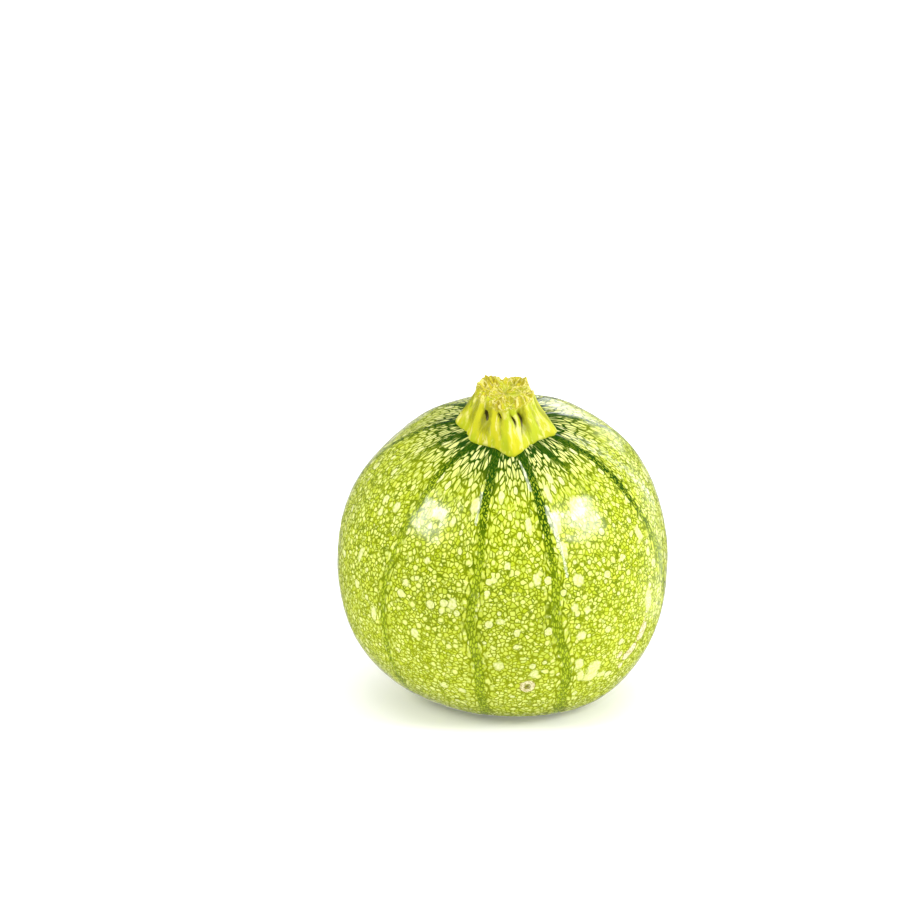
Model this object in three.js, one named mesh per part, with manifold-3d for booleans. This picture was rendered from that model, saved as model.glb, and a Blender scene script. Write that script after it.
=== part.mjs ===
// Round vegetable marrow: one picked fruit with its cut stem stub.
// Millimetres, +Z up. The fruit rests at z = 0 on a flattened patch, and its stem is tipped
// toward the front (-Y). The origin is the middle of the bottom of the bounding box.
import * as THREE from 'three';
import { mergeVertices } from 'three/addons/utils/BufferGeometryUtils.js';
import Module from 'manifold-3d';

// Fruit: a superellipse turned about the stem axis, pushed out and in by shallow swellings.
const EQUATOR_RADIUS = 45.8;
const STEM_HALF_HEIGHT = 44.5;
const BLOSSOM_HALF_HEIGHT = 45;
const STEM_END_POWER = 2.0;
const BLOSSOM_END_POWER = 2.3;
const STEM_LEAN = 22;
const STEM_SIDE_LEAN = 1.5;
const CENTRE_ABOVE_REST = 41.8;
const REST_ROUNDING = 2;
const REST_TRIM = 0.35;
const FRUIT_SEGMENTS = 90;
const FRUIT_RINGS = 42;

// Swellings in the standing fruit: direction, height as a share of the radius, width in degrees.
const SWELLINGS = [
  { toward: [0.80, -0.15, -0.50], height: 0.026, width: 32 },
  { toward: [-0.80, -0.15, -0.50], height: 0.020, width: 32 },
  { toward: [-0.72, 0.00, 0.62], height: -0.016, width: 30 },
  { toward: [0.10, 0.85, -0.20], height: -0.012, width: 38 },
  { toward: [0.60, 0.12, 0.76], height: 0.034, width: 28 },
  { toward: [-0.42, -0.36, -0.84], height: -0.042, width: 30 },
  { toward: [0.55, -0.25, -0.80], height: 0.014, width: 26 },
];

// Ridges run from stem to blossom end: longitude from the front in degrees and relative height.
const RIDGE_HEIGHT = 0.45;
const RIDGE_WIDTH = 8;
const RIDGES = [
  [-137, 0.8], [-100, 1.0], [-72, 0.4], [-45, 0.9], [-10, 1.0],
  [21, 1.0], [48, 0.5], [72, 0.9], [113, 0.9], [149, 0.7], [184, 1.0],
];

// Stem stub: half profile from the middle of the underside to the middle of the cut end,
// as distance from the stem axis and height above the skin.
const SKIN_GAP = 0.3;
const STEM_PROFILE = [
  [0, SKIN_GAP], [3, SKIN_GAP], [6, SKIN_GAP], [8.2, SKIN_GAP], [10.0, SKIN_GAP], [10.9, 0.5],
  [10.7, 1.0], [10.2, 1.9], [9.7, 3.0], [9.1, 4.3], [8.5, 5.7], [7.8, 7.2],
  [7.3, 8.7], [7.0, 10.0], [6.8, 10.7], [6.3, 10.9], [5.4, 10.6], [3.8, 10.1], [2, 9.8], [0, 9.7],
];
const STEM_SEGMENTS = 72;

// Ribs of the stem: longitude from the front in degrees and relative strength. Each one runs
// out into a lobe of the foot.
const STEM_RIBS = [[8, 1.0], [80, 0.95], [150, 0.85], [205, 0.8], [260, 1.0], [312, 0.4]];
const RIB_WIDTH = 17;
const RIB_REACH = 0.9;
const LOBE_REACH = 2.8;
const FINE_RIBS = 17;
const FINE_RIB_DEPTH = 0.18;

const DEG = Math.PI / 180;

function smoothStep(low, high, value) {
  const t = THREE.MathUtils.clamp((value - low) / (high - low), 0, 1);
  return t * t * (3 - 2 * t);
}

// Turns a point of the upright fruit into the leaning one.
const LEAN = new THREE.Matrix4()
  .makeRotationY(STEM_SIDE_LEAN * DEG)
  .multiply(new THREE.Matrix4().makeRotationX(STEM_LEAN * DEG));

// Direction from the fruit's middle for a polar angle from the stem and a longitude from -Y.
function direction(polar, longitude) {
  return new THREE.Vector3(
    Math.sin(polar) * Math.sin(longitude),
    -Math.sin(polar) * Math.cos(longitude),
    Math.cos(polar),
  );
}

// Sum of round-topped ridges at the listed longitudes.
function ridgeSum(ridges, width, longitude) {
  let sum = 0;
  for (const [degrees, strength] of ridges) {
    const turn = longitude / DEG - degrees;
    const offset = turn - 360 * Math.round(turn / 360);
    sum += strength * Math.exp(-((offset / width) ** 2));
  }
  return sum;
}

function ridgeLift(polar, longitude) {
  const nearStem = smoothStep(2 * DEG, 20 * DEG, polar);
  const towardBlossom = 1 - 0.75 * smoothStep(35 * DEG, 110 * DEG, polar);
  return RIDGE_HEIGHT * ridgeSum(RIDGES, RIDGE_WIDTH, longitude) * nearStem * towardBlossom;
}

function swellingFactor(standing) {
  let factor = 1;
  for (const { toward, height, width } of SWELLINGS) {
    const angle = standing.angleTo(new THREE.Vector3(...toward)) / DEG;
    factor += height * Math.exp(-((angle / width) ** 2));
  }
  return factor;
}

// Point of the skin in the standing fruit, measured from the fruit's middle.
function skinPoint(polar, longitude) {
  const blend = THREE.MathUtils.clamp((polar / DEG - 50) / 80, 0, 1);
  const power = THREE.MathUtils.lerp(STEM_END_POWER, BLOSSOM_END_POWER, blend);
  const halfHeight = polar < Math.PI / 2 ? STEM_HALF_HEIGHT : BLOSSOM_HALF_HEIGHT;
  const across = Math.abs(Math.sin(polar) / EQUATOR_RADIUS) ** power;
  const along = Math.abs(Math.cos(polar) / halfHeight) ** power;
  const radius = (across + along) ** (-1 / power);
  const point = direction(polar, longitude).transformDirection(LEAN);
  return point.multiplyScalar(radius * swellingFactor(point) + ridgeLift(polar, longitude));
}

// Lifts what would hang below the surface it rests on, with a rounded edge all round.
function settle(point) {
  const height = point.z + CENTRE_ABOVE_REST;
  point.z = 0.5 * (height + Math.hypot(height, REST_ROUNDING)) - REST_TRIM;
  return point;
}

function remapVertices(geometry, mapping) {
  geometry.deleteAttribute('normal');
  geometry.deleteAttribute('uv');
  const merged = mergeVertices(geometry, 1e-3);
  const position = merged.getAttribute('position');
  const point = new THREE.Vector3();
  for (let i = 0; i < position.count; i += 1) {
    point.fromBufferAttribute(position, i);
    const moved = mapping(point);
    position.setXYZ(i, moved.x, moved.y, moved.z);
  }
  return merged;
}

function toSolid(wasm, geometry) {
  return new wasm.Manifold(new wasm.Mesh({
    numProp: 3,
    vertProperties: new Float32Array(geometry.getAttribute('position').array),
    triVerts: new Uint32Array(geometry.getIndex().array),
  }));
}

function fromSolid(solid) {
  const mesh = solid.getMesh();
  const geometry = new THREE.BufferGeometry();
  geometry.setAttribute('position', new THREE.BufferAttribute(mesh.vertProperties, 3));
  geometry.setIndex(new THREE.BufferAttribute(mesh.triVerts, 1));
  return geometry;
}

// The fruit: a sphere with its poles on the stem axis, drawn out to the skin and trimmed flat.
function makeFruit(wasm) {
  const sphere = new THREE.SphereGeometry(1, FRUIT_SEGMENTS, FRUIT_RINGS);
  sphere.rotateX(Math.PI / 2);
  const skin = remapVertices(sphere, (p) => {
    const polar = Math.acos(THREE.MathUtils.clamp(p.z, -1, 1));
    return settle(skinPoint(polar, Math.atan2(p.x, -p.y)));
  });
  const below = new THREE.BoxGeometry(200, 200, 20);
  below.translate(0, 0, -10);
  const trimBox = remapVertices(below, (p) => p.clone());
  return fromSolid(toSolid(wasm, skin).subtract(toSolid(wasm, trimBox)));
}

// The stem stub: a turned profile whose underside follows the skin and whose sides are ribbed.
function makeStem() {
  const profile = STEM_PROFILE.map(([reach, height]) => new THREE.Vector2(reach, height));
  const turned = new THREE.LatheGeometry(profile, STEM_SEGMENTS);
  turned.rotateX(Math.PI / 2);
  const axis = new THREE.Vector3(0, 0, 1).transformDirection(LEAN);
  const pole = skinPoint(0, 0);
  return remapVertices(turned, (p) => {
    const reach = Math.hypot(p.x, p.y);
    const longitude = Math.atan2(p.x, -p.y);
    const rise = smoothStep(0.4, 7, p.z);
    const ribReach = THREE.MathUtils.lerp(LOBE_REACH, RIB_REACH, rise)
      * ridgeSum(STEM_RIBS, RIB_WIDTH, longitude);
    const fineReach = FINE_RIB_DEPTH * Math.cos(FINE_RIBS * longitude);
    const wideReach = reach + (ribReach + fineReach) * smoothStep(0, 9, reach);
    const polar = Math.asin(Math.min(wideReach / STEM_HALF_HEIGHT, 1));
    const foot = skinPoint(polar, longitude);
    const column = pole.clone().add(foot.clone().sub(pole).projectOnPlane(axis));
    return settle(foot.lerp(column, rise).addScaledVector(axis, p.z));
  });
}

const wasm = await Module();
wasm.setup();

const skinMaterial = new THREE.MeshStandardMaterial({ color: 0xbac93d, roughness: 0.35, metalness: 0 });
const stemMaterial = new THREE.MeshStandardMaterial({ color: 0xd5db3b, roughness: 0.6, metalness: 0 });

const fruit = new THREE.Mesh(makeFruit(wasm), skinMaterial);
fruit.name = 'marrow_fruit';
const stem = new THREE.Mesh(makeStem(), stemMaterial);
stem.name = 'stem';

const marrow = new THREE.Group();
marrow.add(fruit, stem);

const middle = new THREE.Box3().setFromObject(marrow).getCenter(new THREE.Vector3());
marrow.position.set(-middle.x, -middle.y, 0);
marrow.updateMatrixWorld(true);

export default marrow;
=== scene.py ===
"""Round vegetable marrow on a plain pale floor, laid out as an add-on and run as a script."""

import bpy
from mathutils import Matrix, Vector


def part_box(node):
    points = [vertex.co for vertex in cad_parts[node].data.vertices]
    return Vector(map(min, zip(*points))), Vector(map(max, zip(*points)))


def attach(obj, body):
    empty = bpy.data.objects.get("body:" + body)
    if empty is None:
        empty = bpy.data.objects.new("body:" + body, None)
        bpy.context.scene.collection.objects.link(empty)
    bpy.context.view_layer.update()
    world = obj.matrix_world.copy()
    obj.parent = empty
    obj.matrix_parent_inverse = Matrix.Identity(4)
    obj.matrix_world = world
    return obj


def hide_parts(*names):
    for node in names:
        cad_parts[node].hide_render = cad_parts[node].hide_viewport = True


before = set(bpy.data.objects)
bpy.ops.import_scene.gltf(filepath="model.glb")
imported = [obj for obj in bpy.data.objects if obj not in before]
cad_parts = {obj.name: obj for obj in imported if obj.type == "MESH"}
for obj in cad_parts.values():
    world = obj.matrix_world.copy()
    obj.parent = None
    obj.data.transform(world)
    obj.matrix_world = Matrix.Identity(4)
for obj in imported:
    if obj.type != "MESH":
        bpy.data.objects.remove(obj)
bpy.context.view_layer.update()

import math

import bmesh
import bpy
import numpy as np
from bpy.props import FloatProperty, FloatVectorProperty, PointerProperty
from mathutils import Euler, Matrix, Vector

bl_info = {
    "name": "Round vegetable marrow",
    "version": (1, 0, 0),
    "blender": (4, 5, 0),
    "location": "View3D > Sidebar > Marrow",
    "description": "Builds one round netted marrow with its cut stem on a pale floor",
    "category": "Add Mesh",
}

MM = 0.001
DEG = math.pi / 180

# ---------------------------------------------------------------- fruit shape, in millimetres
EQUATOR_RADIUS = 45.8
STEM_HALF_HEIGHT = 44.5
BLOSSOM_HALF_HEIGHT = 45.0
STEM_END_POWER = 2.0
BLOSSOM_END_POWER = 2.3
CENTRE_ABOVE_REST = 41.8
REST_ROUNDING = 2.0
REST_TRIM = 0.35
FRUIT_SEGMENTS = 320
FRUIT_RINGS = 240
SKIN_WAVES = ((0.10, 15, 4), (0.045, 5, 9))
CROWN_WAVES = (0.10, 2.6, 12)
CORK_THICKNESS = 0.12
# How far round a scar the mesh is finer, as a share of the radius.
FINE_MESH_REACH = 0.05

# Swellings in the standing fruit: direction, height as a share of the radius, width in degrees.
SWELLINGS = (
    ((0.80, -0.15, -0.50), 0.026, 32),
    ((-0.80, -0.15, -0.50), 0.020, 32),
    ((-0.72, 0.00, 0.62), -0.016, 30),
    ((0.10, 0.85, -0.20), -0.012, 38),
    ((0.60, 0.12, 0.76), 0.034, 28),
    ((-0.42, -0.36, -0.84), -0.042, 30),
    ((0.55, -0.25, -0.80), 0.014, 26),
)

# Ridges: longitude from the front in degrees, height share, darkness of the stripe on it,
# polar angle where the dark green gives way to olive, and how much of the stripe is left there.
RIDGES = (
    (-137, 0.8, 0.85, 40, 0.65),
    (-100, 1.0, 0.90, 44, 0.70),
    (-72, 0.4, 0.55, 32, 0.40),
    (-45, 0.9, 0.95, 40, 0.65),
    (-10, 1.0, 1.00, 49, 0.92),
    (19.5, 1.0, 1.00, 57, 1.00),
    (48, 0.5, 0.60, 32, 0.35),
    (72, 0.9, 1.00, 62, 0.90),
    (113, 0.9, 0.85, 44, 0.65),
    (149, 0.7, 0.90, 50, 0.75),
    (184, 1.0, 0.85, 45, 0.65),
)
RIDGE_WIDTH = 8


def smooth_step(low, high, value):
    t = np.clip((value - low) / (high - low), 0, 1)
    return t * t * (3 - 2 * t)


def turned_from(longitude, degrees):
    """Signed angle in degrees from a ridge's longitude, the short way round."""
    turn = longitude / DEG - degrees
    return turn - 360 * np.round(turn / 360)


def lean_matrix(settings):
    side = Matrix.Rotation(settings.side_lean, 3, "Y")
    return np.array(side @ Matrix.Rotation(settings.stem_lean, 3, "X"))


def ridge_lift(polar, longitude, height):
    lift = 0
    for degrees, share, _dark, _reach, _left in RIDGES:
        lift = lift + share * np.exp(-((turned_from(longitude, degrees) / RIDGE_WIDTH) ** 2))
    near_stem = smooth_step(2 * DEG, 20 * DEG, polar)
    toward_blossom = 1 - 0.75 * smooth_step(35 * DEG, 110 * DEG, polar)
    return height * lift * near_stem * toward_blossom


def skin_points(settings, polar, longitude):
    """Points of the skin in the standing fruit, from its middle, and their directions."""
    blend = np.clip((polar / DEG - 50) / 80, 0, 1)
    power = STEM_END_POWER + (BLOSSOM_END_POWER - STEM_END_POWER) * blend
    half_height = np.where(polar < math.pi / 2, STEM_HALF_HEIGHT, BLOSSOM_HALF_HEIGHT)
    across = np.abs(np.sin(polar) / (settings.equator_radius / MM)) ** power
    along = np.abs(np.cos(polar) / half_height) ** power
    radius = (across + along) ** (-1 / power)
    upright = np.stack(
        (np.sin(polar) * np.sin(longitude), -np.sin(polar) * np.cos(longitude), np.cos(polar)), -1
    )
    standing = upright @ lean_matrix(settings).T
    factor = 1.0
    for toward, height, width in SWELLINGS:
        unit = np.array(Vector(toward).normalized())
        angle = np.arccos(np.clip(standing @ unit, -1, 1)) / DEG
        factor = factor + height * np.exp(-((angle / width) ** 2))
    lift = ridge_lift(polar, longitude, settings.ridge_height / MM)
    return standing * (radius * factor + lift)[..., None], standing


def settle(points):
    """Lifts what would hang below the resting surface, with a rounded edge all round."""
    height = points[..., 2] + CENTRE_ABOVE_REST
    points[..., 2] = 0.5 * (height + np.hypot(height, REST_ROUNDING)) - REST_TRIM
    return points


def value_noise(points, scale, seed):
    """Smooth noise from -1 to 1: a few sine waves with seeded directions and phases."""
    rng = np.random.default_rng(seed)
    total = np.zeros(points.shape[0])
    for _ in range(7):
        wave = rng.normal(size=3)
        wave = wave / np.linalg.norm(wave) * rng.uniform(0.6, 1.5)
        total += np.sin(points @ wave * (2 * math.pi / scale) + rng.uniform(0, 2 * math.pi))
    return total / 3.5


# ---------------------------------------------------------------- marks on the skin
# Pale blotches, some of them painted highlights: polar angle and longitude of the middle in degrees,
# half width across and along the meridian in millimetres.
BLOTCHES_AND_GLEAMS = (
    (38, -16, 1.1, 2.4), (44, 12, 0.8, 2.3), (62, 13, 1.0, 1.7), (34, -2, 0.7, 2.0),
    (72, -17, 1.1, 1.6), (62, -3, 0.7, 0.9), (57, 2, 0.8, 0.9),
    (76, 0, 1.2, 0.8), (74, 26, 1.0, 1.2), (76, 31, 0.9, 1.1), (65, 29, 1.5, 1.6),
    (87, -30, 1.2, 1.4), (70, -36, 0.9, 1.0), (60, -30, 0.7, 0.9), (29, 33, 0.8, 1.7),
    (85, 28, 1.3, 1.4), (62, 64, 1.2, 2.1), (70, 65, 0.9, 1.0), (88, -48, 1.0, 2.4),
    (72, -61, 0.9, 2.1), (50, -56, 1.2, 1.5), (94, 0, 1.3, 1.4), (109, -20, 1.2, 1.1),
    (109, -13, 1.1, 1.0), (98, 12, 1.1, 1.6), (101, 34, 2.0, 2.4), (97, 28, 1.2, 1.8),
    (105, 33, 2.2, 1.6), (103, 29, 1.0, 2.0), (106, 38, 1.3, 1.0), (86, 60, 1.6, 3.6),
    # Painted highlight over pale skin: (44, -33) and (42, 40) lie where the soft boxes' gleams fall,
    # and the three at longitude 26 to 27 make the gloss band beside a stripe.
    (44, -33, 2.1, 1.8), (42, 40, 2.2, 3.0), (34, 27, 0.8, 3.0), (44, 26, 1.1, 3.4),
    (54, 26, 0.8, 2.6),
    (58, 100, 1.2, 2.0), (80, 118, 1.5, 1.4), (44, 135, 0.9, 2.8), (96, 150, 1.8, 1.6),
    (66, 168, 1.1, 1.7), (52, -165, 1.2, 2.6), (84, -150, 1.5, 1.9), (70, -122, 1.1, 1.5),
    (104, -118, 1.7, 1.5), (48, -112, 0.9, 2.4), (92, -88, 1.2, 1.6), (112, 90, 1.4, 1.4),
)
# Ring scar: polar angle, longitude and radius.
RING_SCAR = (104, 10, 2.05)
BLOSSOM_SCAR_WIDTH = 5
# Corky scratches: start and end as (polar, longitude) in degrees, half width in millimetres.
SCRATCHES = (
    ((84, 61.5), (94, 56.5), 0.13),
    ((95.5, 57), (98, 55.5), 1.45),
    ((101, 52), (103, 48.5), 1.20),
    ((100.3, 45.2), (100.8, 44.8), 0.75),
    ((106, 46.6), (106.4, 46.4), 0.65),
    ((70, -128), (78, -133), 0.36),
)
# Silvery streaks beside the stripes, given the same way as the scratches: partly pale skin and partly
# painted highlight, the gloss along the ridges' flanks.
SILVER_AND_GLOSS = (
    ((21, 15), (32, 16.5), 0.40),
    ((39, 22.5), (47, 24), 0.90),
    ((47, 24), (55, 24.5), 0.48),
    ((55, 24.5), (63, 25), 0.27),
    ((33, -14), (44, -13.5), 0.35),
)
# Painted sheen: a broad faint whitish reflection on the right, outside the last stripe that shows.
PAINTED_SHEEN = (((24, 84), (62, 87), 2.8),)


class FruitSettings(bpy.types.PropertyGroup):
    """Sizes and colours of the fruit."""

    equator_radius: FloatProperty(
        name="Equator radius", description="Half the greatest width",
        default=EQUATOR_RADIUS * MM, min=0.02, subtype="DISTANCE", unit="LENGTH",
    )
    ridge_height: FloatProperty(
        name="Ridge height", description="How far the ridges stand out near the stem",
        default=0.45 * MM, min=0.0, subtype="DISTANCE", unit="LENGTH",
    )
    stem_lean: FloatProperty(
        name="Stem lean", description="How far the stem leans to the front",
        default=22 * DEG, subtype="ANGLE", unit="ROTATION",
    )
    side_lean: FloatProperty(
        name="Side lean", description="How far the stem leans to the right",
        default=1.5 * DEG, subtype="ANGLE", unit="ROTATION",
    )
    cell_size: FloatProperty(
        name="Net cell size", description="Usual width of a pale cell at the equator",
        default=1.22 * MM, min=0.0002, subtype="DISTANCE", unit="LENGTH",
    )
    cell_colour: FloatVectorProperty(
        name="Cell", description="Middle colour of the pale cells",
        subtype="COLOR", size=3, min=0, max=1, default=(0.64, 0.70, 0.070),
    )
    lime_colour: FloatVectorProperty(
        name="Lime", description="Fresh green between a cell's pale middle and the net",
        subtype="COLOR", size=3, min=0, max=1, default=(0.46, 0.56, 0.006),
    )
    bright_cell_colour: FloatVectorProperty(
        name="Bright cell", description="Colour of the palest small cells",
        subtype="COLOR", size=3, min=0, max=1, default=(0.84, 0.88, 0.29),
    )
    # Also paints the highlights that are laid as blotches.
    blotch_and_gleam_colour: FloatVectorProperty(
        name="Blotch", description="Colour of the large pale blotches",
        subtype="COLOR", size=3, min=0, max=1, default=(0.84, 0.83, 0.42),
    )
    net_colour: FloatVectorProperty(
        name="Net", description="Olive colour of the net between the cells",
        subtype="COLOR", size=3, min=0, max=1, default=(0.182, 0.235, 0.0),
    )
    deep_net_colour: FloatVectorProperty(
        name="Deep net", description="Darker olive where the net thickens",
        subtype="COLOR", size=3, min=0, max=1, default=(0.105, 0.165, 0.0),
    )
    low_net_colour: FloatVectorProperty(
        name="Low net", description="Lighter net of the lower half",
        subtype="COLOR", size=3, min=0, max=1, default=(0.25, 0.30, 0.0),
    )
    faded_stripe_colour: FloatVectorProperty(
        name="Faded stripe", description="Olive of the stripes away from the stem",
        subtype="COLOR", size=3, min=0, max=1, default=(0.128, 0.200, 0.0),
    )
    stripe_colour: FloatVectorProperty(
        name="Stripe", description="Dark green of the stripes and the net near the stem",
        subtype="COLOR", size=3, min=0, max=1, default=(0.012, 0.060, 0.0),
    )


class StemSettings(bpy.types.PropertyGroup):
    """Sizes and colours of the stem stub."""

    rise: FloatProperty(
        name="Height", description="Height of the cut end above the skin",
        default=10.5 * MM, min=0.002, subtype="DISTANCE", unit="LENGTH",
    )
    flesh_colour: FloatVectorProperty(
        name="Stalk", description="Yellow-green of the stalk",
        subtype="COLOR", size=3, min=0, max=1, default=(0.64, 0.60, 0.010),
    )
    green_colour: FloatVectorProperty(
        name="Green of the stalk", description="Greener parts of the stalk and its foot",
        subtype="COLOR", size=3, min=0, max=1, default=(0.47, 0.54, 0.009),
    )
    streak_colour: FloatVectorProperty(
        name="Streak", description="Pale streaks and dry threads",
        subtype="COLOR", size=3, min=0, max=1, default=(0.86, 0.80, 0.26),
    )
    # Painted shade in the grooves between the ribs; the same colour makes the dark specks of the cut
    # end.
    groove_shade_and_speck_colour: FloatVectorProperty(
        name="Groove", description="Olive of the grooves between the ribs",
        subtype="COLOR", size=3, min=0, max=1, default=(0.27, 0.28, 0.002),
    )
    # Painted shade in the slots below the cut end.
    slot_shade_colour: FloatVectorProperty(
        name="Slot", description="Dark slots below the cut end",
        subtype="COLOR", size=3, min=0, max=1, default=(0.060, 0.050, 0.001),
    )
    pith_colour: FloatVectorProperty(
        name="Cut end", description="Yellow flesh of the cut end",
        subtype="COLOR", size=3, min=0, max=1, default=(0.66, 0.60, 0.014),
    )
    dry_colour: FloatVectorProperty(
        name="Dry end", description="Dry brown-yellow parts of the cut end",
        subtype="COLOR", size=3, min=0, max=1, default=(0.40, 0.34, 0.014),
    )


class StageSettings(bpy.types.PropertyGroup):
    """Floor and lights."""

    floor_colour: FloatVectorProperty(
        name="Floor", description="Pale floor",
        subtype="COLOR", size=3, min=0, max=1, default=(0.70, 0.70, 0.70),
    )
    key_power: FloatProperty(
        name="Right soft box", description="Power of the large light on the right",
        default=2.8, min=0, unit="POWER",
    )
    fill_power: FloatProperty(
        name="Left soft box", description="Power of the large light on the left",
        default=1.85, min=0, unit="POWER",
    )
    gleam_power: FloatProperty(
        name="Gleam", description="Power of the lights that only show as gleams on the skin",
        default=6.0, min=0, unit="POWER",
    )
    surround: FloatProperty(
        name="Surround", description="Brightness of the white surround", default=0.28, min=0,
    )


# ---------------------------------------------------------------- node helpers
class NodeSheet:
    """Adds nodes to one material tree and links what it is given."""

    def __init__(self, material):
        material.use_nodes = True
        self.tree = material.node_tree
        self.tree.nodes.clear()
        self.column = 0

    def add(self, kind, **settings):
        node = self.tree.nodes.new(kind)
        node.location = (self.column * 40, 0)
        self.column += 1
        for name, value in settings.items():
            setattr(node, name, value)
        return node

    def feed(self, socket, value):
        if isinstance(value, bpy.types.NodeSocket):
            self.tree.links.new(value, socket)
        else:
            socket.default_value = value

    def attribute(self, name, output="Fac"):
        return self.add("ShaderNodeAttribute", attribute_name=name).outputs[output]

    def math(self, operation, *values, clamp=False):
        node = self.add("ShaderNodeMath", operation=operation, use_clamp=clamp)
        for socket, value in zip(node.inputs, values):
            self.feed(socket, value)
        return node.outputs[0]

    def vector(self, operation, *values):
        node = self.add("ShaderNodeVectorMath", operation=operation)
        for socket, value in zip(node.inputs, values):
            self.feed(socket, value)
        return node.outputs[0]

    def scaled(self, vector, factor):
        node = self.add("ShaderNodeVectorMath", operation="SCALE")
        self.feed(node.inputs[0], vector)
        self.feed(node.inputs["Scale"], factor)
        return node.outputs[0]

    def noise(self, vector, scale, detail=2.0, roughness=0.5, output="Fac"):
        node = self.add("ShaderNodeTexNoise", noise_dimensions="3D")
        self.feed(node.inputs["Vector"], vector)
        self.feed(node.inputs["Scale"], scale)
        self.feed(node.inputs["Detail"], detail)
        self.feed(node.inputs["Roughness"], roughness)
        return node.outputs[output]

    def cells(self, vector, scale, feature="F1", randomness=1.0):
        node = self.add("ShaderNodeTexVoronoi", voronoi_dimensions="3D", feature=feature)
        self.feed(node.inputs["Vector"], vector)
        self.feed(node.inputs["Scale"], scale)
        self.feed(node.inputs["Randomness"], randomness)
        return node

    def ramp(self, value, low, high, start=0.0, end=1.0):
        """Smooth step of value from low to high, giving start to end."""
        node = self.add("ShaderNodeMapRange", interpolation_type="SMOOTHSTEP")
        for socket, item in zip(node.inputs, (value, low, high, start, end)):
            self.feed(socket, item)
        return node.outputs[0]

    def mix(self, factor, first, second):
        node = self.add("ShaderNodeMix", data_type="RGBA")
        self.feed(node.inputs["Factor"], factor)
        self.feed(node.inputs[6], self.colour(first))
        self.feed(node.inputs[7], self.colour(second))
        return node.outputs[2]

    def blend(self, factor, first, second):
        node = self.add("ShaderNodeMix", data_type="FLOAT")
        self.feed(node.inputs["Factor"], factor)
        self.feed(node.inputs[2], first)
        self.feed(node.inputs[3], second)
        return node.outputs[0]

    @staticmethod
    def colour(value):
        if isinstance(value, bpy.types.NodeSocket):
            return value
        return (*tuple(value)[:3], 1.0)

    def bump(self, height, strength, distance):
        node = self.add("ShaderNodeBump")
        self.feed(node.inputs["Height"], height)
        self.feed(node.inputs["Strength"], strength)
        self.feed(node.inputs["Distance"], distance)
        return node.outputs[0]

    def parts(self, value, kind="Color"):
        node = self.add("ShaderNodeSeparate" + kind)
        self.feed(node.inputs[0], value)
        return node.outputs

    def surface(self, **inputs):
        shader = self.add("ShaderNodeBsdfPrincipled")
        for name, value in inputs.items():
            self.feed(shader.inputs[name.replace("_", " ")], value)
        output = self.add("ShaderNodeOutputMaterial")
        self.tree.links.new(shader.outputs[0], output.inputs["Surface"])


# ---------------------------------------------------------------- materials
def round_spots(sheet, growth, spacing, largest, share, wander, patch, seed):
    """Round pale cells with a net line between them: inside, outline, pick and middle."""
    placed = sheet.vector("ADD", growth, (seed * 7.3, seed * 3.1, seed * 5.7))
    cell = sheet.cells(placed, 1 / spacing, "F1", 0.9)
    border = sheet.cells(placed, 1 / spacing, "DISTANCE_TO_EDGE", 0.9).outputs["Distance"]
    pick = sheet.parts(cell.outputs["Color"])
    chosen = sheet.math("ADD", pick[0], patch)
    reach = sheet.ramp(chosen, 1 - share, 1.0, 0.45 * largest, largest)
    present = sheet.ramp(chosen, 1 - share - 0.01, 1 - share + 0.01)
    over = sheet.math("SUBTRACT", sheet.math("MULTIPLY", cell.outputs["Distance"], spacing), reach)
    over = sheet.math("ADD", over, wander)
    over = sheet.math("MAXIMUM", over, sheet.math("MULTIPLY_ADD", border, -spacing, 0.15))
    inside = sheet.math("MULTIPLY", sheet.ramp(over, -0.08, 0.08, 1.0, 0.0), present)
    outline = sheet.math("MULTIPLY", sheet.ramp(over, 0.20, 0.36, 1.0, 0.0), present)
    return inside, outline, pick[1], sheet.ramp(over, -0.38, -0.05, 1.0, 0.0)


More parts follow.
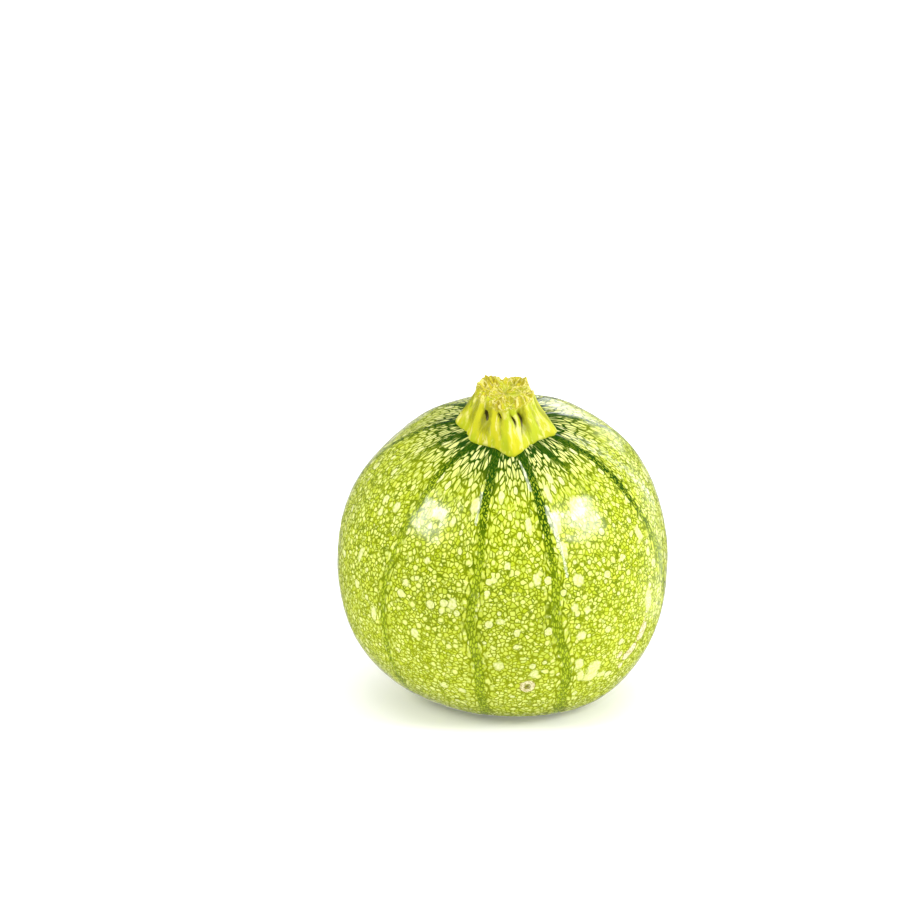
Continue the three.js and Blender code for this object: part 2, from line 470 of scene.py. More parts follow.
def marrow_skin(settings):
    material = bpy.data.materials.new("marrow_skin")
    sheet = NodeSheet(material)
    growth = sheet.attribute("growth", "Vector")
    stripe = sheet.attribute("stripe")
    shade = sheet.attribute("shade")
    flank = sheet.attribute("flank")
    crown = sheet.attribute("crown")
    blotch_and_gleam = sheet.attribute("blotch_and_gleam")
    cork = sheet.attribute("cork")

    # The growth coordinates are in millimetres, so noise scales are per millimetre.
    jitter = sheet.vector("SUBTRACT", sheet.noise(growth, 1.1, 2, output="Color"), (0.5, 0.5, 0.5))
    warped = sheet.vector("ADD", growth, sheet.scaled(jitter, 0.55))
    drift = sheet.noise(growth, 0.10, 2, 0.6)
    fine = sheet.noise(growth, 0.45, 2, 0.6)
    ragged = sheet.math("SUBTRACT", sheet.noise(growth, 1.3, 2), 0.5)
    streaky = sheet.noise(sheet.vector("MULTIPLY", growth, (1.0, 1.0, 0.22)), 0.9, 2, 0.6)
    streaky = sheet.math("SUBTRACT", streaky, 0.5)

    # Fine net, and the long-celled net of the crown and of the stripes' flanks.
    per_mm = 1 / (settings.cell_size / MM)
    fine_edge = sheet.cells(warped, per_mm, "DISTANCE_TO_EDGE").outputs["Distance"]
    fine_f1 = sheet.cells(warped, per_mm, "F1")
    fine_cell = sheet.parts(fine_f1.outputs["Color"])
    long_space = sheet.vector("MULTIPLY", warped, (0.82, 0.82, 0.32))
    long_edge = sheet.cells(long_space, per_mm, "DISTANCE_TO_EDGE").outputs["Distance"]
    side = sheet.math("MULTIPLY_ADD", streaky, 0.9, flank)
    lengthen = sheet.math("MAXIMUM", sheet.ramp(side, 0.22, 0.52), sheet.ramp(crown, 0.02, 0.28))
    edge = sheet.blend(lengthen, fine_edge, long_edge)
    width = sheet.math("MULTIPLY_ADD", drift, 0.05, 0.042)
    width = sheet.math("MULTIPLY_ADD", sheet.math("SUBTRACT", fine, 0.5), 0.07, width)
    width = sheet.math("MULTIPLY_ADD", flank, 0.025, width)
    width = sheet.math("MULTIPLY_ADD", crown, 0.03, width)
    # Darker right round the stem foot: the net lines thicken there.
    width = sheet.math("MULTIPLY_ADD", sheet.ramp(crown, 0.90, 1.0), 0.08, width)
    line = sheet.ramp(sheet.math("DIVIDE", edge, width), 0.6, 1.9, 1.0, 0.0)
    corner = sheet.ramp(fine_f1.outputs["Distance"], 0.55, 0.85, 0.0, 0.35)
    line = sheet.math("MULTIPLY", sheet.math("MAXIMUM", line, corner),
                      sheet.ramp(sheet.math("MAXIMUM", crown, flank), 0.1, 0.8, 0.92, 1.0))

    # Round pale cells of three sizes, each with a darker outline.
    wander = sheet.math("MULTIPLY", ragged, 0.55)
    patch = sheet.noise(sheet.vector("ADD", growth, (31.0, 17.0, 5.0)), 0.16, 2, 0.5)
    patch = sheet.math("MULTIPLY_ADD", patch, 1.3, -0.65)
    mid, mid_line, mid_pick, mid_heart = round_spots(
        sheet, warped, 2.0, 0.88, 0.75, wander, patch, 1)
    wide, wide_line, _, _ = round_spots(sheet, growth, 4.0, 1.20, 0.45, wander, 0.0, 2)
    between = sheet.math("MULTIPLY_ADD", lengthen, -0.85, 1.0)
    mid = sheet.math("MULTIPLY", mid, between)
    mid_line = sheet.math("MULTIPLY", mid_line, between)
    # Large pale blotches, partly real skin and partly painted highlight where the gleams fall.
    laid = sheet.math("MULTIPLY_ADD", ragged, 0.55, blotch_and_gleam)
    laid_in = sheet.ramp(laid, 0.37, 0.63)
    laid_line = sheet.ramp(laid, 0.34, 0.46, 0.0, 0.7)
    big = sheet.math("MAXIMUM", wide, laid_in)
    outline = sheet.math("MAXIMUM", mid_line, sheet.math("MAXIMUM", wide_line, laid_line))
    outline = sheet.math("MULTIPLY", outline, sheet.ramp(fine, 0.3, 0.7, 0.65, 0.95))
    line = sheet.math("MAXIMUM", line, outline)
    line = sheet.math("MULTIPLY", line, sheet.math("SUBTRACT", 1.0, mid))
    line = sheet.math("MULTIPLY", line, sheet.math("SUBTRACT", 1.0, big))

    # Stripes: dark ground with rows of narrow pale cells, closing up toward the stem.
    strands = sheet.noise(sheet.vector("MULTIPLY", growth, (1.0, 1.0, 0.16)), 1.9, 2, 0.6)
    strands = sheet.math("SUBTRACT", strands, 0.5)
    stripe_mask = sheet.ramp(sheet.math("MULTIPLY_ADD", strands, 0.75, stripe), 0.30, 0.50)
    row_space = sheet.vector("MULTIPLY", warped, (1.55, 1.55, 0.55))
    row_edge = sheet.cells(row_space, 1.0, "DISTANCE_TO_EDGE").outputs["Distance"]
    closing = sheet.math("MULTIPLY_ADD", shade, 0.04, 0.10)
    row = sheet.ramp(sheet.math("SUBTRACT", row_edge, closing), 0.0, 0.09)
    row = sheet.math("MULTIPLY", row, sheet.ramp(crown, 0.3, 0.9, 1.0, 0.2))
    clear = sheet.math("MULTIPLY_ADD", stripe_mask, -0.9, 1.0)
    mid = sheet.math("MULTIPLY", mid, clear)
    big = sheet.math("MULTIPLY", big, clear)

    # Colours.
    level = sheet.parts(growth, "XYZ")["Z"]
    pale = sheet.mix(sheet.math("POWER", fine_cell[0], 1.5), settings.cell_colour,
                     settings.bright_cell_colour)
    lower = sheet.ramp(level, -58.0, -40.0, 1.0, 0.0)
    fresh = sheet.math("MULTIPLY", sheet.ramp(fine_cell[1], 0.45, 1.0, 0.0, 0.70),
                       sheet.math("MULTIPLY_ADD", lower, -0.5, 1.0))
    pale = sheet.mix(fresh, pale, settings.lime_colour)
    pale = sheet.mix(sheet.ramp(edge, 0.07, 0.24, 0.80, 0.0), pale, settings.lime_colour)
    net = sheet.mix(sheet.ramp(fine, 0.35, 0.7), settings.net_colour, settings.deep_net_colour)
    low = sheet.ramp(level, -50.0, -26.0, 0.65, 0.0)
    net = sheet.mix(low, net, settings.low_net_colour)
    dark_part = sheet.math("MAXIMUM", sheet.math("MULTIPLY", flank, shade), crown, clamp=True)
    net = sheet.mix(sheet.ramp(dark_part, 0.25, 0.95), net, settings.stripe_colour)
    colour = sheet.mix(line, pale, net)
    mid_tone = sheet.mix(sheet.math("MULTIPLY", mid_pick, 0.6), settings.lime_colour,
                         settings.bright_cell_colour)
    mid_tone = sheet.mix(sheet.math("MULTIPLY", mid_heart, 0.85), mid_tone,
                         settings.bright_cell_colour)
    colour = sheet.mix(mid, colour, mid_tone)
    colour = sheet.mix(sheet.math("MULTIPLY", sheet.math("SUBTRACT", crown, line), 0.55, clamp=True),
                       colour, settings.blotch_and_gleam_colour)
    mottle = sheet.ramp(sheet.noise(growth, 1.6, 3), 0.35, 0.65, 0.40, 0.85)
    colour = sheet.mix(sheet.math("MULTIPLY", big, mottle), colour, settings.blotch_and_gleam_colour)
    # Partly pale skin and partly painted highlight: silvery gloss beside the stripes, with the painted
    # sheen on the right.
    silver_and_gloss = sheet.ramp(sheet.math("MULTIPLY_ADD", ragged, 1.1, sheet.attribute("silver_and_gloss")), 0.30, 0.75)
    silver_and_gloss = sheet.math("MULTIPLY", silver_and_gloss, sheet.math("MULTIPLY_ADD", line, -0.45, 0.75))
    colour = sheet.mix(silver_and_gloss, colour, (0.83, 0.88, 0.66))
    ground = sheet.mix(sheet.math("MULTIPLY_ADD", streaky, 0.8, shade), settings.faded_stripe_colour,
                       settings.stripe_colour)
    ground = sheet.mix(sheet.math("MULTIPLY", row, sheet.math("MULTIPLY_ADD", shade, -0.20, 0.80)),
                       ground, (0.56, 0.67, 0.03))
    stripe_mask = sheet.math("MULTIPLY", stripe_mask, sheet.ramp(shade, 0.0, 0.6, 0.85, 1.0))
    colour = sheet.mix(stripe_mask, colour, ground)

    cork_tone = sheet.mix(sheet.ramp(sheet.noise(growth, 1.9, 3), 0.36, 0.58), (0.50, 0.41, 0.14),
                          (0.86, 0.81, 0.50))
    cork_field_in = sheet.math("MULTIPLY_ADD", ragged, 0.9, cork)
    rim = sheet.ramp(cork_field_in, 0.18, 0.34)
    colour = sheet.mix(sheet.math("MULTIPLY", rim, 0.75), colour, (0.30, 0.25, 0.03))
    cork_mask = sheet.ramp(cork_field_in, 0.38, 0.6)
    colour = sheet.mix(cork_mask, colour, cork_tone)
    colour = sheet.mix(sheet.attribute("pit"), colour, (0.12, 0.08, 0.01))

    height = sheet.math("MULTIPLY_ADD", line, -0.6, 1.0)
    height = sheet.math("MULTIPLY_ADD", sheet.noise(growth, 3.0, 3), 0.35, height)
    normal = sheet.bump(height, 0.15, 0.00006)
    roughness = sheet.math("MULTIPLY_ADD", line, 0.06, 0.13)
    roughness = sheet.math("MULTIPLY_ADD", cork_mask, 0.30, roughness)
    sheet.surface(
        Base_Color=colour, Roughness=roughness, Normal=normal, Specular_IOR_Level=0.13,
    )
    return material


def stalk_material(settings):
    material = bpy.data.materials.new("stalk")
    sheet = NodeSheet(material)
    grain = sheet.attribute("grain", "Vector")
    groove_shade = sheet.attribute("groove_shade")
    cut = sheet.attribute("cut")
    foot = sheet.attribute("foot")
    side = sheet.attribute("side")
    streaks = sheet.noise(grain, 0.55, 3, 0.65)
    fibres = sheet.noise(grain, 2.2, 3, 0.7)
    flesh = sheet.mix(sheet.ramp(sheet.noise(grain, 0.30, 2), 0.45, 0.65), settings.flesh_colour,
                      settings.green_colour)
    flesh = sheet.mix(sheet.math("MULTIPLY", side, 0.35), flesh, settings.green_colour)
    colour = sheet.mix(sheet.ramp(streaks, 0.50, 0.64, 0.0, 0.85), flesh, settings.streak_colour)
    # Painted shade: the grooves and slots darken, over the fibres' own dark grain.
    dark = sheet.math("MULTIPLY_ADD", sheet.math("SUBTRACT", fibres, 0.5), 0.9, groove_shade)
    colour = sheet.mix(sheet.ramp(dark, 0.24, 0.66, 0.0, 0.85), colour, settings.groove_shade_and_speck_colour)
    colour = sheet.mix(sheet.ramp(dark, 0.78, 1.05), colour, settings.slot_shade_colour)
    colour = sheet.mix(sheet.ramp(foot, 0.3, 1.0, 0.0, 0.6), colour, settings.green_colour)
    torn = sheet.noise(grain, 0.42, 4, 0.65)
    threads = sheet.math("SUBTRACT", sheet.noise(grain, 0.50, 3, 0.55), 0.5)
    threads = sheet.math("ABSOLUTE", threads)
    seams = sheet.vector("ADD", grain, (9.0, 4.0, 2.0))
    seams = sheet.math("ABSOLUTE", sheet.math("SUBTRACT", sheet.noise(seams, 0.42, 3, 0.55), 0.5))
    pith = sheet.mix(sheet.ramp(torn, 0.40, 0.60), settings.dry_colour, settings.pith_colour)
    pith = sheet.mix(sheet.ramp(sheet.noise(grain, 0.28, 2), 0.50, 0.62, 0.0, 0.6), pith,
                     settings.green_colour)
    pith = sheet.mix(sheet.ramp(threads, 0.010, 0.045, 0.80, 0.0), pith, settings.streak_colour)
    pith = sheet.mix(sheet.ramp(seams, 0.006, 0.024, 0.65, 0.0), pith, (0.25, 0.19, 0.006))
    pith = sheet.mix(sheet.ramp(fibres, 0.62, 0.72, 0.0, 0.5), pith, settings.groove_shade_and_speck_colour)
    colour = sheet.mix(cut, colour, pith)
    height = sheet.math("ADD", fibres, sheet.math("MULTIPLY", streaks, 0.8))
    height = sheet.math("ADD", height, sheet.math("MULTIPLY", sheet.ramp(threads, 0.01, 0.06, 1.0, 0.0),
                                                  cut))
    normal = sheet.bump(height, 0.6, 0.00022)
    roughness = sheet.math("MULTIPLY_ADD", cut, 0.25, 0.42)
    sheet.surface(Base_Color=colour, Roughness=roughness, Normal=normal, Specular_IOR_Level=0.15)
    return material


def floor_material(settings):
    """Pale floor that glows softly away from the fruit, so that it runs out to white."""
    material = bpy.data.materials.new("pale_floor")
    sheet = NodeSheet(material)
    place = sheet.add("ShaderNodeTexCoord").outputs["Object"]
    away = sheet.add("ShaderNodeVectorMath", operation="LENGTH")
    sheet.feed(away.inputs[0], place)
    # Painted light: the glow lifts the fruit's cast shadow beside it, least at the contact, and lights
    # the fruit's underside.
    near = sheet.ramp(away.outputs["Value"], 0.012, 0.050, 0.14, 0.56)
    glow = sheet.math("ADD", near, sheet.ramp(away.outputs["Value"], 0.10, 0.50, 0.0, 0.40))
    sheet.surface(
        Base_Color=(*settings.floor_colour, 1.0), Roughness=0.6, Specular_IOR_Level=0.2,
        Emission_Color=(1.0, 1.0, 1.0, 1.0), Emission_Strength=glow,
    )
    return material


# ---------------------------------------------------------------- mesh helpers
def read_points(mesh):
    points = np.empty(len(mesh.vertices) * 3)
    mesh.vertices.foreach_get("co", points)
    return points.reshape(-1, 3)


def write_points(mesh, points):
    mesh.vertices.foreach_set("co", np.ascontiguousarray(points, dtype=float).ravel())
    mesh.update()


def store(mesh, name, values):
    kind = "FLOAT_VECTOR" if values.ndim == 2 else "FLOAT"
    layer = mesh.attributes.new(name, kind, "POINT")
    layer.data.foreach_set("vector" if values.ndim == 2 else "value",
                           np.ascontiguousarray(values, dtype=np.float32).ravel())


def finish_piece(name, bm, material, node):
    mesh = bpy.data.meshes.new(name)
    bmesh.ops.recalc_face_normals(bm, faces=bm.faces)
    bm.to_mesh(mesh)
    bm.free()
    mesh.polygons.foreach_set("use_smooth", [True] * len(mesh.polygons))
    mesh.materials.append(material)
    piece = bpy.data.objects.new(name, mesh)
    bpy.context.scene.collection.objects.link(piece)
    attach(piece, "root")
    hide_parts(node)
    return piece


def upright_direction(polar, longitude):
    return Vector((
        math.sin(polar) * math.sin(longitude),
        -math.sin(polar) * math.cos(longitude),
        math.cos(polar),
    ))


def spread_offset(settings):
    """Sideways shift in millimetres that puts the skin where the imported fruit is."""
    low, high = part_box("marrow_fruit")
    polar, longitude = np.meshgrid(
        np.linspace(0, math.pi, 181), np.linspace(-math.pi, math.pi, 361), indexing="ij"
    )
    points, _ = skin_points(settings, polar, longitude)
    middle = [(points[..., i].min() + points[..., i].max()) / 2 for i in (0, 1)]
    return np.array([
        (low[0] + high[0]) / 2 / MM - middle[0], (low[1] + high[1]) / 2 / MM - middle[1], 0.0
    ])


# ---------------------------------------------------------------- the fruit
def growth_coordinates(settings, polar, longitude):
    """Coordinates that stretch with the skin: cells get narrow and long toward the stem."""
    radius = settings.equator_radius / MM
    table = np.linspace(0, math.pi, 721)
    upper = table < math.pi / 2
    widths = np.where(upper, np.sqrt(0.30 + 0.70 * np.sin(table) ** 2), np.sin(table))
    rate = np.where(upper, 0.26 + 0.74 * smooth_step(0.40, 1.20, table), np.sin(table))
    drop = np.concatenate(([0], np.cumsum((rate[1:] + rate[:-1]) / 2 * np.diff(table))))
    width = np.interp(polar, table, widths) * radius
    depth = np.interp(polar, table, drop) * radius
    return np.stack((width * np.sin(longitude), -width * np.cos(longitude), -depth), -1)


def stripe_fields(polar, longitude):
    """The stripes on the ridges: their core, their flanks and how dark they are.

    Half widths are in millimetres. The stripes sway to the right below the equator.
    """
    wobble = 1.3 * np.sin(5.1 * polar + 1.7 * longitude) + 0.8 * np.sin(11 * polar - 2.3 * longitude)
    core = np.zeros_like(polar)
    flank = np.zeros_like(polar)
    shade = np.zeros_like(polar)
    weight = np.full_like(polar, 1e-6)
    sway = 3.9 * smooth_step(74 * DEG, 102 * DEG, polar)
    near = 1 - smooth_step(14 * DEG, 30 * DEG, polar)
    far = smooth_step(50 * DEG, 85 * DEG, polar)
    half = 1.02 + 0.42 * near + 0.42 * far
    for degrees, _share, dark, reach, left in RIDGES:
        turn = turned_from(longitude, degrees + sway)
        across = turn * DEG * np.sin(polar) * EQUATOR_RADIUS + 0.30 * wobble
        keep = 1 - (1 - left) * smooth_step((reach - 12) * DEG, (reach + 22) * DEG, polar)
        keep = keep * dark ** 0.8 * (1 - 0.5 * smooth_step(112 * DEG, 145 * DEG, polar))
        core = np.maximum(core, keep * np.exp(-((across / half) ** 2)))
        wide = np.exp(-((across / (2.3 * half)) ** 2))
        flank = np.maximum(flank, keep * wide)
        darkness = dark * (1 - smooth_step((reach - 22) * DEG, (reach + 16) * DEG, polar))
        shade += darkness * wide
        weight += wide
    return core, flank, np.maximum(shade / weight, 1 - smooth_step(22 * DEG, 40 * DEG, polar))


def blotch_and_gleam_field(polar, longitude):
    field = np.zeros_like(polar)
    for middle_polar, middle_longitude, across, along in BLOTCHES_AND_GLEAMS:
        x = turned_from(longitude, middle_longitude) * DEG * np.sin(polar)
        x = x * EQUATOR_RADIUS / across
        y = (polar / DEG - middle_polar) * DEG * EQUATOR_RADIUS / along
        field = np.maximum(field, np.exp(-0.7 * (x * x + y * y)))
    return field


def laid_flat(here_polar, polar, longitude):
    """A place as millimetres across and down the skin, across being as wide as at here_polar."""
    across = longitude * np.sin(here_polar) * EQUATOR_RADIUS
    return np.stack(np.broadcast_arrays(across, polar * EQUATOR_RADIUS), -1)


def streak_field(marks, polar, longitude):
    """Straight marks, 1 along their middle lines."""
    here = laid_flat(polar, polar, longitude)
    field = np.zeros_like(polar)
    for (start_polar, start_longitude), (end_polar, end_longitude), half in marks:
        start = laid_flat(polar, start_polar * DEG, start_longitude * DEG)
        along = laid_flat(polar, end_polar * DEG, end_longitude * DEG) - start
        share = np.clip(((here - start) * along).sum(-1) / (along ** 2).sum(-1), 0, 1)
        gap = np.linalg.norm(here - start - share[..., None] * along, axis=-1)
        field = np.maximum(field, np.exp(-0.7 * (gap / half) ** 3))
    return field


def cork_field(polar, longitude):
    """Corky marks: blossom end, ring scar and scratches, 1 where the cork is thickest."""
    field = streak_field(SCRATCHES, polar, longitude)
    blossom_end = np.exp(-(((math.pi - polar) / (BLOSSOM_SCAR_WIDTH * DEG)) ** 2))
    field = np.maximum(field, blossom_end)
    here = laid_flat(polar, polar, longitude)
    middle = laid_flat(polar, RING_SCAR[0] * DEG, RING_SCAR[1] * DEG)
    ring = np.linalg.norm((here - middle) * (1, 0.85), axis=-1) / RING_SCAR[2]
    return np.maximum(field, np.exp(-(((ring - 0.70) / 0.31) ** 2)))


def pit_field(polar, longitude):
    """Dark middle of the ring scar."""
    x = turned_from(longitude, RING_SCAR[1]) * DEG * np.sin(polar) * EQUATOR_RADIUS
    y = (polar / DEG - RING_SCAR[0]) * DEG * EQUATOR_RADIUS
    return np.exp(-((np.hypot(x, y - 0.2) / (0.36 * RING_SCAR[2])) ** 2))


class MARROW_OT_fruit(bpy.types.Operator):
    """Build the fruit with its ridges, flattened underside, scars and netted skin"""

    bl_idname = "marrow.fruit"
    bl_label = "Fruit"

    def execute(self, context):
        settings = context.scene.marrow_fruit
        bm = bmesh.new()
        bmesh.ops.create_uvsphere(
            bm, u_segments=FRUIT_SEGMENTS, v_segments=FRUIT_RINGS, radius=1.0
        )
        marks = [upright_direction(RING_SCAR[0] * DEG, RING_SCAR[1] * DEG)]
        for start, end, _half in SCRATCHES:
            marks.append(upright_direction(start[0] * DEG, start[1] * DEG))
            marks.append(upright_direction(end[0] * DEG, end[1] * DEG))
        near = set()
        for vert in bm.verts:
            if any((vert.co - mark).length < FINE_MESH_REACH for mark in marks):
                near.update(vert.link_edges)
        bmesh.ops.subdivide_edges(bm, edges=list(near), cuts=2, use_grid_fill=True)
        piece = finish_piece("fruit_skin", bm, marrow_skin(settings), "marrow_fruit")
        mesh = piece.data
        unit = read_points(mesh)
        unit = unit / np.linalg.norm(unit, axis=1)[:, None]
        polar = np.arccos(np.clip(unit[:, 2], -1, 1))
        longitude = np.arctan2(unit[:, 0], -unit[:, 1])
        points, outward = skin_points(settings, polar, longitude)
        growth = growth_coordinates(settings, polar, longitude)
        core, flank, shade = stripe_fields(polar, longitude)
        cork = cork_field(polar, longitude)
        crown = 1 - smooth_step(15 * DEG, 44 * DEG, polar)
        lift = CORK_THICKNESS * cork
        for height, length, seed in SKIN_WAVES:
            lift = lift + height * value_noise(points, length, seed)
        height, length, seed = CROWN_WAVES
        lift = lift + height * crown * value_noise(growth * (1, 1, 0.2), length, seed)
        points = settle(points + outward * lift[:, None])
        points[:, 2] = np.maximum(points[:, 2], 0)
        write_points(mesh, (points + spread_offset(settings)) * MM)
        store(mesh, "growth", growth)
        store(mesh, "stripe", core)
        store(mesh, "flank", flank)
        store(mesh, "shade", shade)
        store(mesh, "crown", crown)
        # Pale blotches, some of them painted highlights.
        store(mesh, "blotch_and_gleam", blotch_and_gleam_field(polar, longitude))
        store(mesh, "cork", cork)
        # Silvery streaks, partly pale skin and partly painted highlight, and the painted sheen on the
        # right.
        silver_and_gloss = streak_field(SILVER_AND_GLOSS, polar, longitude)
        silver_and_gloss = np.maximum(silver_and_gloss, 0.48 * streak_field(PAINTED_SHEEN, polar, longitude))
        store(mesh, "silver_and_gloss", silver_and_gloss)
        store(mesh, "pit", pit_field(polar, longitude))
        return {"FINISHED"}


# ---------------------------------------------------------------- the stem stub
STEM_SKIN_SINK = 0.12
FOOT_RADIUS = 11
SLOT_DEPTH = 1.1
FOOT_RIB_HEIGHT = 2.8
NECK_RIB_HEIGHT = 0.9
# Half profile of the stub: distance from the stem axis and share of its height.
STEM_PROFILE = (
    (0.0, -0.02), (6.0, -0.02), (10.2, -0.02), (10.85, 0.0), (11.0, 0.035), (10.85, 0.075),
    (10.4, 0.15), (9.8, 0.26), (9.2, 0.38), (8.5, 0.51), (7.9, 0.65), (7.4, 0.79),
    (7.1, 0.92), (6.9, 0.985), (6.5, 1.0), (5.8, 0.985), (4.8, 0.95), (3.5, 0.91), (1.8, 0.89),
    (0.0, 0.88),
)
STEM_STEPS = 240
STEM_RIBS = ((8, 1.0), (80, 0.95), (150, 0.85), (205, 0.8), (260, 1.0), (312, 0.4))
RIB_WIDTH = 17
CREASE_WIDTH = 6.5
TORN_CORNER_WIDTH = 15
# Narrow ribs that crease the sides: longitude in degrees and height in millimetres.
CREASES = (
    (-118, 0.35), (-84, 0.30), (-52, 0.45), (-16, 0.45), (4, 0.30), (20, 0.50), (52, 0.35),
    (70, 0.30), (98, 0.40), (128, 0.35), (150, 0.40), (178, 0.45), (205, 0.35), (226, 0.40),
)
# Slots below the cut end, sunk and painted dark as shade: longitude in degrees, share of the height
# at their middle, half width in degrees and half length as a share of the height.
SLOTS = (
    (-40, 0.60, 5.0, 0.17), (29, 0.55, 4.2, 0.25), (-9, 0.68, 2.2, 0.10), (13, 0.60, 2.2, 0.15),
    (-92, 0.70, 4.0, 0.20), (112, 0.64, 4.0, 0.18), (176, 0.66, 4.5, 0.20), (236, 0.60, 4.0, 0.22),
)
# Pointed corners of the torn end: longitude in degrees and height in millimetres.
TORN_CORNERS = ((-122, 1.1), (118, 1.0), (-60, 0.5), (60, 0.4))
# The neck stands a little to the left of the foot, in millimetres.
NECK_SHIFT = (-0.7, 0.0, 0.0)


def rib_sum(longitude):
    total = 0
    for degrees, share in STEM_RIBS:
        total = total + share * np.exp(-((turned_from(longitude, degrees) / RIB_WIDTH) ** 2))
    return total


def crease_sum(longitude):
    total = 0
    for degrees, height in CREASES:
        total = total + height * np.exp(-((turned_from(longitude, degrees) / CREASE_WIDTH) ** 2))
    return total


def slot_field(longitude, share):
    """Slots between the ribs, 1 where a slot is deepest; their colour is painted shade."""
    field = np.zeros_like(share)
    for degrees, middle, half_width, half_length in SLOTS:
        x = turned_from(longitude + 0.10 * np.sin(9 * share), degrees) / half_width
        y = (share - middle) / half_length
        field = np.maximum(field, np.exp(-(x * x + y * y)))
    return field


class MARROW_OT_stem(bpy.types.Operator):
    """Build the cut stem stub with its ribs, flared foot and torn cut end"""

    bl_idname = "marrow.stem"
    bl_label = "Stem stub"

    def execute(self, context):
        settings = context.scene.marrow_stem
        fruit_settings = context.scene.marrow_fruit
        bm = bmesh.new()
        verts = [bm.verts.new((reach, 0, share)) for reach, share in STEM_PROFILE]
        edges = [bm.edges.new(pair) for pair in zip(verts, verts[1:])]
        bmesh.ops.subdivide_edges(bm, edges=edges[3:], cuts=2)
        bmesh.ops.spin(
            bm, geom=bm.verts[:] + bm.edges[:], cent=(0, 0, 0), axis=(0, 0, 1),
            angle=2 * math.pi, steps=STEM_STEPS, use_merge=True,
        )
        bmesh.ops.remove_doubles(bm, verts=bm.verts, dist=1e-5)
        piece = finish_piece("stem_stub", bm, stalk_material(settings), "stem")
        mesh = piece.data
        raw = read_points(mesh)
        reach = np.hypot(raw[:, 0], raw[:, 1])
        share = raw[:, 2]
        longitude = np.arctan2(raw[:, 0], -raw[:, 1])
        height = share * settings.rise / MM
        rise = smooth_step(0.04, 0.62, share)
        ribs = rib_sum(longitude)
        slots = slot_field(longitude, share)
        ring = np.stack((np.sin(longitude) * FOOT_RADIUS, np.cos(longitude) * FOOT_RADIUS, share), -1)
        spread = (FOOT_RIB_HEIGHT * (1 - rise) + NECK_RIB_HEIGHT * rise) * ribs
        spread = spread + crease_sum(longitude) * smooth_step(0.05, 0.30, share)
        spread = spread - SLOT_DEPTH * slots
        spread = spread + 0.16 * (1 - rise) * value_noise(ring, 1.5, 41)
        spread = spread + 0.15 * rise * value_noise(ring * (1, 1, 2), 1.6, 43)
        out = smooth_step(0, 9, reach)
        wide = reach + spread * out
        polar = np.arcsin(np.clip(wide / STEM_HALF_HEIGHT, 0, 1))
        foot, _ = skin_points(fruit_settings, polar, longitude)
        lean = lean_matrix(fruit_settings)
        axis = lean @ np.array((0.0, 0.0, 1.0))
        pole, _ = skin_points(fruit_settings, np.zeros(1), np.zeros(1))
        beside = foot - pole
        column = pole + beside - (beside @ axis)[:, None] * axis
        lifted = height - STEM_SKIN_SINK
        edge = 0.05 * value_noise(ring, 9, 51) + 0.03 * value_noise(ring, 3, 52)
        top = smooth_step(0.80, 0.93, share + edge)
        rough = value_noise(column, 2.1, 31) * 0.60 + value_noise(column, 0.9, 33) * 0.20
        rough = rough + 0.80 * value_noise(column, 6.0, 35)
        for degrees, height_there in TORN_CORNERS:
            corner = np.exp(-((turned_from(longitude, degrees) / TORN_CORNER_WIDTH) ** 2))
            rough = rough + height_there * corner * smooth_step(4.5, 6.3, reach)
        lifted = lifted + rough * top
        column = column + NECK_SHIFT
        points = foot * (1 - rise)[:, None] + column * rise[:, None] + lifted[:, None] * axis
        write_points(mesh, (settle(points) + spread_offset(fruit_settings)) * MM)
        round_way = 9 * (0.4 + reach / 12)
        up_way = height * 0.16 + top * reach * 0.3
        grain = (np.sin(longitude) * round_way, -np.cos(longitude) * round_way, up_way)
        store(mesh, "grain", np.stack(grain, -1))
        # Painted shade: darker in the valleys between the creases and in the slots.
        valley = np.clip(0.62 - crease_sum(longitude) * 1.7, 0, 1) * smooth_step(0.02, 0.40, share)
        store(mesh, "groove_shade", np.maximum(valley * (1 - 0.6 * top), 1.6 * slots))
        store(mesh, "side", np.abs(np.sin(longitude)) * (1 - top))
        store(mesh, "cut", np.clip(top, 0, 1))
        store(mesh, "foot", 1 - smooth_step(0.02, 0.14, share))
        return {"FINISHED"}


# ---------------------------------------------------------------- the stage
CAMERA_DISTANCE = 0.703
CAMERA_ELEVATION = 15.0
CAMERA_AIM_UP = 2.31
CAMERA_AIM_LEFT = 1.21
CAMERA_LENS = 100.0
FLOOR_HALF_SIZE = 12.0
LIGHT_DISTANCE = 0.60
TOP_BOX_POWER = 2.6
# Brightness of the surround where it is seen behind the floor's edge.
SEEN_SURROUND = 1.3


def soft_box(name, azimuth, elevation, distance, size, power, target):
    light = bpy.data.lights.new(name, "AREA")
    light.shape = "RECTANGLE"
    light.size, light.size_y = size
    light.energy = power
    lamp = bpy.data.objects.new(name, light)
    turn = azimuth * DEG
    tilt = elevation * DEG
    away = Vector((math.sin(turn) * math.cos(tilt), -math.cos(turn) * math.cos(tilt), math.sin(tilt)))
    lamp.location = target + away * distance
    lamp.rotation_euler = away.to_track_quat("Z", "Y").to_euler()
    bpy.context.scene.collection.objects.link(lamp)
    return lamp


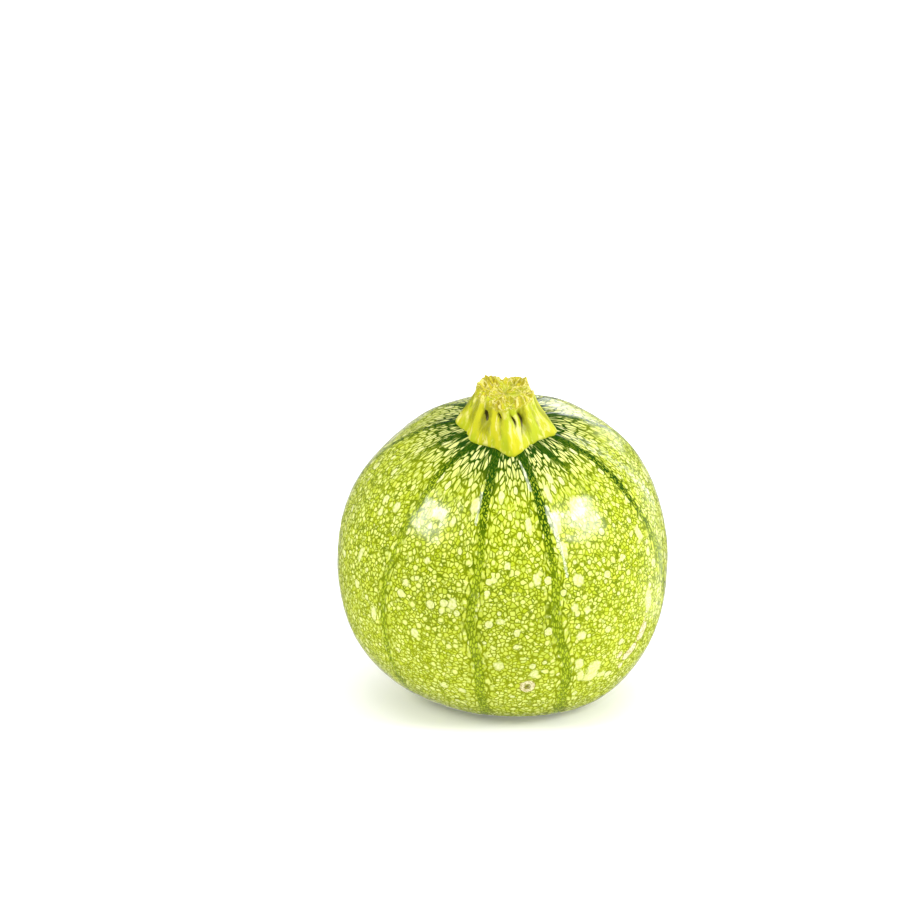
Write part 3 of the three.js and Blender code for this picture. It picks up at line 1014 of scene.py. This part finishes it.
class MARROW_OT_stage(bpy.types.Operator):
    """Set the pale floor, the soft boxes, the white surround and the camera"""

    bl_idname = "marrow.stage"
    bl_label = "Stage"

    def execute(self, context):
        settings = context.scene.marrow_stage
        scene = context.scene
        bm = bmesh.new()
        bmesh.ops.create_grid(bm, x_segments=1, y_segments=1, size=FLOOR_HALF_SIZE)
        mesh = bpy.data.meshes.new("floor")
        bm.to_mesh(mesh)
        bm.free()
        mesh.materials.append(floor_material(settings))
        floor = bpy.data.objects.new("floor", mesh)
        scene.collection.objects.link(floor)
        floor.visible_glossy = False
        world = bpy.data.worlds.new("white_surround")
        world.use_nodes = True
        scene.world = world
        sheet = NodeSheet(world)
        way = sheet.parts(sheet.add("ShaderNodeTexCoord").outputs["Generated"], "XYZ")
        glow = sheet.ramp(way["Y"], -0.9, 0.7, 0.8 * settings.surround, 1.2 * settings.surround)
        background = sheet.add("ShaderNodeBackground")
        seen = sheet.add("ShaderNodeLightPath").outputs["Is Camera Ray"]
        sheet.feed(background.inputs["Strength"], sheet.blend(seen, glow, SEEN_SURROUND))
        output = sheet.add("ShaderNodeOutputWorld")
        sheet.tree.links.new(background.outputs[0], output.inputs["Surface"])
        middle = Vector((0, 0, CENTRE_ABOVE_REST * MM))
        soft_box("soft_box_right", 67, 31, LIGHT_DISTANCE, (0.20, 0.22), settings.key_power, middle)
        soft_box("soft_box_left", -62, 34, LIGHT_DISTANCE, (0.18, 0.20), settings.fill_power, middle)
        above = soft_box("soft_box_top", 10, 78, 0.70, (0.60, 0.50), TOP_BOX_POWER, middle)
        above.visible_glossy = False
        # Windows show only as gleams on the skin and give it no light.
        for name, azimuth, elevation, size, power in (
            ("window_right", 67, 31, (0.22, 0.22), 1.25 * settings.gleam_power),
            ("window_left", -56, 34, (0.17, 0.17), 0.6 * settings.gleam_power),
            ("window_side", 125, -5, (0.40, 0.45), 0.13 * settings.gleam_power),
            ("window_back", 158, 24, (0.40, 0.20), 0.14 * settings.gleam_power),
            ("window_rim", 180, -15, (0.50, 0.50), 0.05 * settings.gleam_power),
        ):
            window = soft_box(name, azimuth, elevation, LIGHT_DISTANCE, size, power, middle)
            window.visible_diffuse = False
            window.visible_camera = False
        camera = bpy.data.cameras.new("camera")
        camera.lens = CAMERA_LENS
        camera.sensor_width = 36.0
        eye = bpy.data.objects.new("camera", camera)
        tilt = CAMERA_ELEVATION * DEG
        eye.location = middle + CAMERA_DISTANCE * Vector((0, -math.cos(tilt), math.sin(tilt)))
        eye.rotation_euler = Euler(
            ((90 - CAMERA_ELEVATION + CAMERA_AIM_UP) * DEG, 0, CAMERA_AIM_LEFT * DEG)
        )
        scene.collection.objects.link(eye)
        scene.camera = eye
        scene.view_settings.view_transform = "Standard"
        return {"FINISHED"}


class MARROW_PT_panel(bpy.types.Panel):
    """Lists the pieces of the marrow"""

    bl_idname = "MARROW_PT_panel"
    bl_label = "Round marrow"
    bl_space_type = "VIEW_3D"
    bl_region_type = "UI"
    bl_category = "Marrow"

    def draw(self, context):
        for operator, group in (
            (MARROW_OT_fruit, context.scene.marrow_fruit),
            (MARROW_OT_stem, context.scene.marrow_stem),
            (MARROW_OT_stage, context.scene.marrow_stage),
        ):
            column = self.layout.column(align=True)
            column.operator(operator.bl_idname)
            for name in group.bl_rna.properties.keys():
                if name not in {"rna_type", "name"}:
                    column.prop(group, name)


CLASSES = (
    FruitSettings,
    StemSettings,
    StageSettings,
    MARROW_OT_fruit,
    MARROW_OT_stem,
    MARROW_OT_stage,
    MARROW_PT_panel,
)


def register():
    for item in CLASSES:
        bpy.utils.register_class(item)
    bpy.types.Scene.marrow_fruit = PointerProperty(type=FruitSettings)
    bpy.types.Scene.marrow_stem = PointerProperty(type=StemSettings)
    bpy.types.Scene.marrow_stage = PointerProperty(type=StageSettings)


def unregister():
    del bpy.types.Scene.marrow_stage
    del bpy.types.Scene.marrow_stem
    del bpy.types.Scene.marrow_fruit
    for item in reversed(CLASSES):
        bpy.utils.unregister_class(item)


def main():
    register()
    bpy.ops.marrow.fruit()
    bpy.ops.marrow.stem()
    bpy.ops.marrow.stage()


if __name__ == "__main__":
    main()
